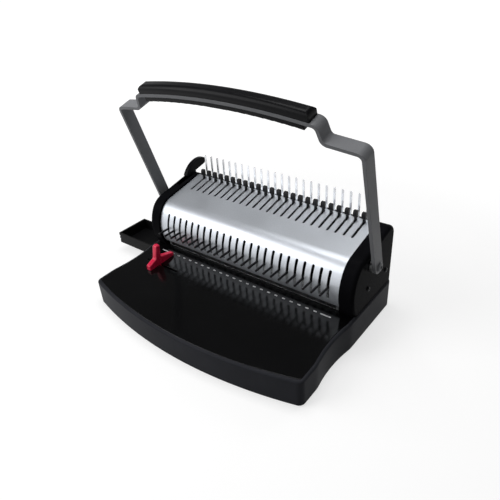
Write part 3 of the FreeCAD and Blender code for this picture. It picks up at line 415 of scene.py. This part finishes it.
class BINDER_OT_opener(bpy.types.Operator):
    """Finish the comb opener: hooks, release pins, tines and horn"""

    bl_idname = "binder.opener"
    bl_label = "Comb opener"

    def execute(self, context):
        colours = context.scene.binder_colours
        hook = painted(
            "hook_coating", colours.hook,
            metallic=0.0, roughness=0.38, flake=1800.0, edge=0.0005, gloss=0.15, bare=(0.05, 0.05, 0.055),
        )
        pin = painted(
            "pin_oxide", colours.hook,
            metallic=0.3, roughness=0.36, flake=1800.0, edge=0.0003, gloss=0.3, bare=(0.08, 0.08, 0.085),
        )
        tine = ground_metal(
            "tine_steel", colours.tine,
            roughness=0.22, stretch=(1, 1, 0.05), edge=0.0003,
        )
        lever = moulded(
            "lever_gloss", colours.cap,
            roughness=0.3, grain=1300.0, depth=0.00003, edge=0.0006, gloss=0.04,
        )
        finish_nodes(hook, "hook_black")
        finish_nodes(pin, "pin_black")
        finish_nodes(tine, "tine_steel")
        finish_nodes(lever, "lever_black")
        return {"FINISHED"}


class BINDER_OT_guide(bpy.types.Operator):
    """Finish the red paper edge guide"""

    bl_idname = "binder.guide"
    bl_label = "Edge guide"

    def execute(self, context):
        colours = context.scene.binder_colours
        guide = moulded(
            "guide_gloss", colours.guide,
            roughness=0.28, grain=1400.0, depth=0.00004, edge=0.0008, gloss=0.5,
        )
        finish_nodes(guide, "guide_red")
        return {"FINISHED"}


class BINDER_OT_index_marks(bpy.types.Operator):
    """Print the row of white index marks on the table"""

    bl_idname = "binder.index_marks"
    bl_label = "Index marks"

    def execute(self, context):
        colours = context.scene.binder_colours
        sizes = context.scene.binder_sizes
        y = -sizes.mark_row_y
        lift = sizes.print_lift
        form = bmesh.new()
        rows = [(x, sizes.mark_length) for x in COMB_PLACES[1:-1]]
        rows += [(side * END_MARK_X, sizes.end_mark_length) for side in (-1, 1)]
        for x, long in rows:
            made = add_block(form, (x, y, table_z(y)), (long, sizes.mark_width, 2 * lift))
            edges = {edge for vert in made for edge in vert.link_edges}
            upright = [edge for edge in edges if abs(edge.verts[0].co.z - edge.verts[1].co.z) > lift]
            bmesh.ops.bevel(
                form, geom=upright, offset=sizes.mark_width * MARK_ROUNDING, segments=4,
                profile=0.5, affect="EDGES", material=-1,
            )
        tilt = Matrix.Rotation(math.atan(TABLE_SLOPE), 4, "X")
        bmesh.ops.rotate(form, verts=form.verts, cent=(0, y, table_z(y)), matrix=tilt)
        ink = moulded(
            "index_print", colours.print,
            roughness=0.55, grain=2400.0, depth=0.00002, edge=0.0001,
        )
        new_piece("index_marks", form, ink, "base")
        return {"FINISHED"}


class BINDER_OT_stage(bpy.types.Operator):
    """Set the floor, the soft lights and the camera"""

    bl_idname = "binder.stage"
    bl_label = "Studio"

    def execute(self, context):
        colours = context.scene.binder_colours
        form = bmesh.new()
        bmesh.ops.create_grid(form, x_segments=1, y_segments=1, size=FLOOR_REACH)
        mesh = bpy.data.meshes.new("floor")
        form.to_mesh(mesh)
        form.free()
        material, tree, shader, place = new_finish("floor_pale")
        shader.inputs["Roughness"].default_value = 0.9
        shader.inputs["Specular IOR Level"].default_value = 0.1
        shader.inputs["Base Color"].default_value = plain(colours.floor)
        far = add_node(tree, "ShaderNodeVectorMath", {0: place}, operation="LENGTH").outputs["Value"]
        glow = spread(tree, far, low=0.66, high=1.0, start=0.5, end=1.6)
        shader.inputs["Emission Color"].default_value = (1, 1, 1, 1)
        tree.links.new(maths(tree, "MULTIPLY", looks_at(tree), glow), shader.inputs["Emission Strength"])
        mesh.materials.append(material)
        floor = bpy.data.objects.new("floor", mesh)
        context.scene.collection.objects.link(floor)

        world = bpy.data.worlds.new("studio")
        world.use_nodes = True
        context.scene.world = world
        tree = world.node_tree
        back = tree.nodes["Background"]
        back.inputs["Color"].default_value = (1, 1, 1, 1)
        ray = add_node(tree, "ShaderNodeTexCoord").outputs["Generated"]
        height = add_node(tree, "ShaderNodeSeparateXYZ", {"Vector": ray}).outputs["Z"]
        horizon = spread(tree, height, low=1.0, high=0.0, start=0.22, end=0.48)
        bright = maths(tree, "MULTIPLY", looks_at(tree), horizon)
        strength = spread(tree, bright, low=0.10, high=1.0, start=0.0, end=1.0)
        tree.links.new(strength, back.inputs["Strength"])

        middle = Vector(LIGHT_TARGET)
        lamps = [
            ("key_softbox", (-0.56, -0.62, 0.56), 1.8, 1.2, 1.2, 19.0),
            ("top_softbox", (-0.05, 0.10, 1.0), 1.5, 0.9, 0.7, 11.5),
            ("back_softbox", (0.25, 0.85, 0.50), 1.8, 0.8, 0.6, 4.0),
        ]
        for name, towards, distance, width, depth, power in lamps:
            light = bpy.data.lights.new(name, "AREA")
            light.shape = "RECTANGLE"
            light.size = width
            light.size_y = depth
            light.energy = power
            lamp = bpy.data.objects.new(name, light)
            lamp.location = middle + Vector(towards).normalized() * distance
            lamp.rotation_euler = (middle - lamp.location).to_track_quat("-Z", "Y").to_euler()
            context.scene.collection.objects.link(lamp)

        lens = bpy.data.cameras.new("camera")
        lens.sensor_width = SENSOR_WIDTH
        lens.lens = LENS_LENGTH
        lens.clip_start = 0.01
        lens.dof.use_dof = False
        camera = bpy.data.objects.new("camera", lens)
        right = Vector(CAMERA_RIGHT).normalized()
        view = Vector(CAMERA_VIEW).normalized()
        up = right.cross(view).normalized()
        right = view.cross(up)
        turn = Matrix((right, up, -view)).transposed().to_4x4()
        turn.translation = Vector(CAMERA_PLACE)
        camera.matrix_world = turn
        context.scene.collection.objects.link(camera)
        context.scene.camera = camera
        context.scene.view_settings.view_transform = "Standard"
        return {"FINISHED"}


class BINDER_PT_panel(bpy.types.Panel):
    """Lists the machine's pieces"""

    bl_idname = "BINDER_PT_panel"
    bl_label = "Comb binding machine"
    bl_space_type = "VIEW_3D"
    bl_region_type = "UI"
    bl_category = "Binder"

    def draw(self, context):
        column = self.layout.column()
        for operator in operators:
            column.operator(operator.bl_idname)


operators = [
    BINDER_OT_base,
    BINDER_OT_cover,
    BINDER_OT_handle,
    BINDER_OT_punch,
    BINDER_OT_opener,
    BINDER_OT_guide,
    BINDER_OT_index_marks,
    BINDER_OT_stage,
]
classes = [BinderColours, BinderSizes] + operators + [BINDER_PT_panel]


def register():
    for each in classes:
        bpy.utils.register_class(each)
    bpy.types.Scene.binder_colours = bpy.props.PointerProperty(type=BinderColours)
    bpy.types.Scene.binder_sizes = bpy.props.PointerProperty(type=BinderSizes)


def unregister():
    del bpy.types.Scene.binder_sizes
    del bpy.types.Scene.binder_colours
    for each in reversed(classes):
        bpy.utils.unregister_class(each)


def main():
    register()
    bpy.ops.binder.base()
    bpy.ops.binder.cover()
    bpy.ops.binder.handle()
    bpy.ops.binder.punch()
    bpy.ops.binder.opener()
    bpy.ops.binder.guide()
    bpy.ops.binder.index_marks()
    bpy.ops.binder.stage()


if __name__ == "__main__":
    main()
